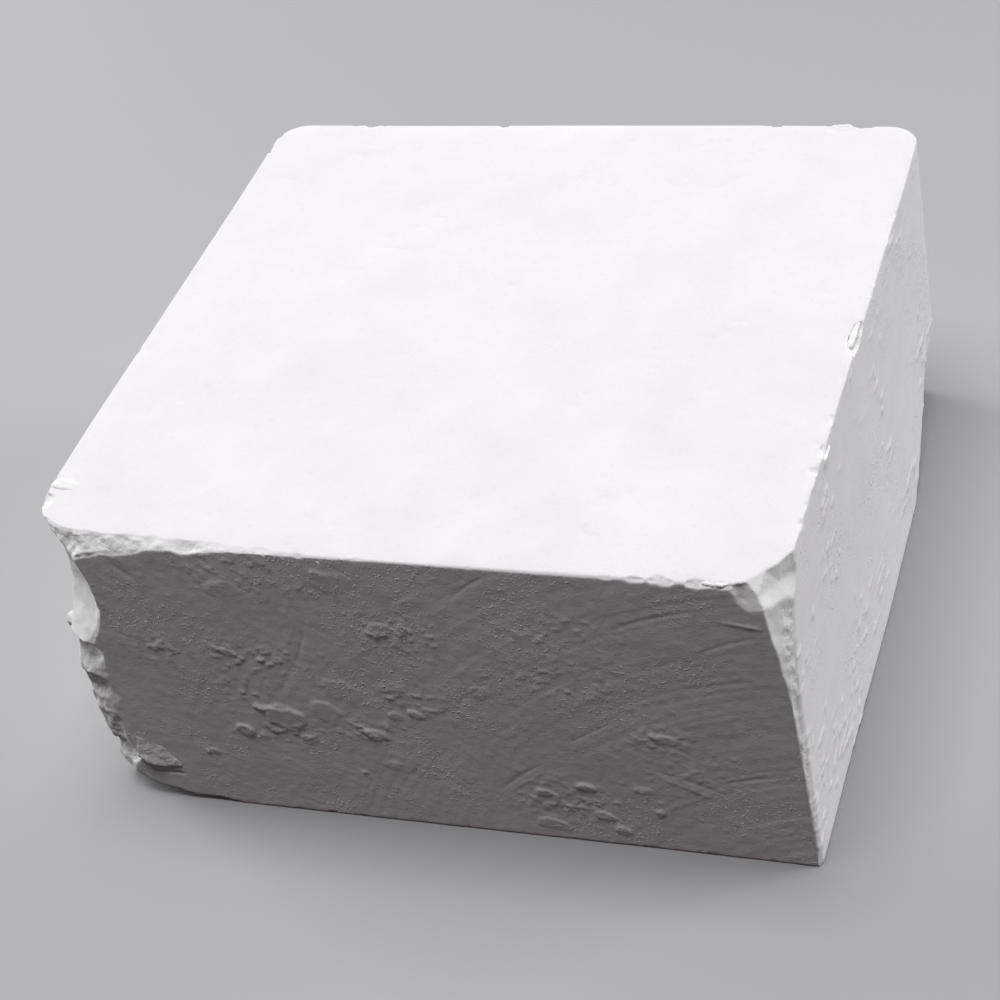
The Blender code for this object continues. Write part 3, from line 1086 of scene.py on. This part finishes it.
# node: (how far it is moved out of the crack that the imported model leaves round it, the way it faces, how it
# leans: how much further out it stands for each millimetre along X, Y and Z, how many times its corners are
# rubbed down), distances in millimetres
FLAKES = {
    "lower_left_flake": ((-0.6, 0.2, 0.15), (0, -1, 0), (-0.05, 0.0, -0.1), 60),
    "front_right_splinter": ((0.2, -0.45, -0.12), (0, 0, 1), (0.0, -0.1, 0.0), 8),
    "right_edge_sliver": ((0.1, 0.0, -0.02), (0, 0, 1), (0.12, 0.0, 0.0), 10),
    "right_edge_flake": ((0.1, 0.0, 0.0), (1, 0, 0), (0.0, 0.0, 0.2), 8),
    "back_edge_flake": ((0.0, 0.15, -0.2), (0, 0, 1), (0.0, 0.22, 0.0), 16),
    "left_tip_lump": ((-0.45, 0.0, 0.1), (0, 0, 1), (-0.06, 0.0, 0.0), 30),
    "left_side_crumb": ((-0.35, -0.2, 0.0), (-1, 0, 0), (0.0, 0.0, 0.0), 20),
}


def flake(node):
    """One loose piece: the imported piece's own form, leaning out of its crack, rounded and roughened."""
    shift, facing, lean, rubs = FLAKES[node]
    low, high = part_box(node)
    middle = (Vector(low) + Vector(high)) / 2
    shape = bmesh.new()
    shape.from_mesh(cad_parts[node].data)
    bmesh.ops.remove_doubles(shape, verts=shape.verts, dist=0.002 * MM)
    for vert in shape.verts:
        vert.co += Vector(shift) * MM + Vector(facing) * Vector(lean).dot(vert.co - middle)
    piece = add_object(node + "_chalk", shape)
    grid = piece.modifiers.new("even grid", "REMESH")
    grid.mode = "VOXEL"
    grid.voxel_size = FLAKE_GRID
    softer = piece.modifiers.new("worn corners", "SMOOTH")
    softer.factor = 0.5
    softer.iterations = rubs
    push_about(piece, 0.8 * MM, 3, FLAKE_CRUMBLE)
    apply_stack(piece)
    piece.data.shade_smooth()
    return piece


class CHALK_OT_loose_flakes(bpy.types.Operator):
    """Build the flakes and crumbs that cling to the block's edges"""

    bl_idname = "chalk.loose_flakes"
    bl_label = "Loose flakes"

    def execute(self, context):
        settings = context.scene.chalk_block
        material = chalk_material("broken_chalk", settings.skin_colour, settings.broken_colour, 1.0)
        for node in FLAKES:
            piece = flake(node)
            piece.data.materials.clear()
            piece.data.materials.append(material)
            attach(piece, "root")
            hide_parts(node)
        return {"FINISHED"}


# (name, place, the point it faces, width, colour)
SOFTBOXES = (
    ("overhead", (0.0, FRONT - 0.01, 0.53), (0, FRONT, TOP), 0.28, (0.99, 0.987, 1)),
    ("right_softbox", (0.44, 0.15, 0.13), (0, 0, TOP / 2), 0.24, (0.985, 0.995, 1)),
    ("left_softbox", (-0.44, 0.1, 0.13), (0, 0, TOP / 2), 0.24, (0.99, 0.995, 1)),
)
FILL_COLOUR = (1.0, 0.84, 0.86, 1)
FLOOR_HALF = 1.5  # half the floor's width, in metres


def softbox(name, place, aim, size, colour, power):
    """A square area light that faces the point it is aimed at."""
    light = bpy.data.lights.new(name, "AREA")
    light.shape = "SQUARE"
    light.size = size
    light.energy = power
    light.color = colour
    thing = bpy.data.objects.new(name, light)
    thing.location = place
    thing.rotation_euler = (Vector(place) - Vector(aim)).to_track_quat("Z", "Y").to_euler()
    bpy.context.scene.collection.objects.link(thing)


def aimed_camera(stage):
    """A camera at the given azimuth and elevation, rolled about its own line of sight."""
    across = math.cos(stage.elevation)
    back = Vector(
        (math.sin(stage.azimuth) * across, -math.cos(stage.azimuth) * across, math.sin(stage.elevation))
    )
    camera = bpy.data.cameras.new("camera")
    camera.lens = stage.lens
    camera.sensor_width = 36.0
    camera.clip_start = 0.01
    camera.clip_end = 10.0
    thing = bpy.data.objects.new("camera", camera)
    level = back.to_track_quat("Z", "Y").to_matrix().to_4x4()
    rolled = Matrix.Rotation(stage.roll, 4, "Z")
    thing.matrix_world = Matrix.Translation(Vector(stage.aim) + back * stage.distance) @ level @ rolled
    bpy.context.scene.collection.objects.link(thing)
    bpy.context.scene.camera = thing


def studio_floor(colour):
    """A plain pale floor, far larger than the view."""
    shape = bmesh.new()
    signs = ((-1, -1), (1, -1), (1, 1), (-1, 1))
    corners = [shape.verts.new((x * FLOOR_HALF, y * FLOOR_HALF, BASE)) for x, y in signs]
    shape.faces.new(corners)
    floor = add_object("studio_floor", shape)
    material = bpy.data.materials.new("floor")
    material.use_nodes = True
    nodes = material.node_tree.nodes
    nodes.clear()
    shader = nodes.new("ShaderNodeBsdfPrincipled")
    shader.label = "Matt floor"
    shader.location = (-300, 0)
    shader.inputs["Base Color"].default_value = colour
    shader.inputs["Roughness"].default_value = 0.8
    shader.inputs["Specular IOR Level"].default_value = 0.1
    output = nodes.new("ShaderNodeOutputMaterial")
    output.label = "Floor"
    material.node_tree.links.new(shader.outputs["BSDF"], output.inputs["Surface"])
    floor.data.materials.append(material)
    floor.visible_diffuse = False


class CHALK_OT_stage(bpy.types.Operator):
    """Set up the floor, the softboxes and the camera"""

    bl_idname = "chalk.stage"
    bl_label = "Stage"

    def execute(self, context):
        stage = context.scene.chalk_stage
        studio_floor(stage.floor_colour)
        powers = (stage.overhead_power, stage.right_power, stage.left_power)
        for lamp, power in zip(SOFTBOXES, powers):
            softbox(*lamp, power)
        world = bpy.data.worlds.new("studio")
        world.use_nodes = True
        fill = world.node_tree.nodes["Background"]
        fill.inputs["Color"].default_value = FILL_COLOUR
        fill.inputs["Strength"].default_value = stage.ambient
        context.scene.world = world
        context.scene.view_settings.view_transform = "Standard"
        aimed_camera(stage)
        return {"FINISHED"}


class CHALK_PT_panel(bpy.types.Panel):
    """Lists the steps that build the chalk block"""

    bl_idname = "CHALK_PT_panel"
    bl_label = "Chalk block"
    bl_space_type = "VIEW_3D"
    bl_region_type = "UI"
    bl_category = "Chalk block"

    def draw(self, context):
        column = self.layout.column()
        for name in ("mould_radius", "arris", "crumble", "blister", "wiping", "skin_colour", "broken_colour"):
            column.prop(context.scene.chalk_block, name)
        for step in (CHALK_OT_stage, CHALK_OT_pressed_block, CHALK_OT_loose_flakes):
            column.operator(step.bl_idname)


CLASSES = (
    ChalkBlockSettings,
    ChalkStageSettings,
    CHALK_OT_pressed_block,
    CHALK_OT_loose_flakes,
    CHALK_OT_stage,
    CHALK_PT_panel,
)


def register():
    for cls in CLASSES:
        bpy.utils.register_class(cls)
    bpy.types.Scene.chalk_block = PointerProperty(type=ChalkBlockSettings)
    bpy.types.Scene.chalk_stage = PointerProperty(type=ChalkStageSettings)


def unregister():
    del bpy.types.Scene.chalk_stage
    del bpy.types.Scene.chalk_block
    for cls in reversed(CLASSES):
        bpy.utils.unregister_class(cls)


def main():
    register()
    bpy.ops.chalk.stage()
    bpy.ops.chalk.pressed_block()
    bpy.ops.chalk.loose_flakes()


if __name__ == "__main__":
    main()
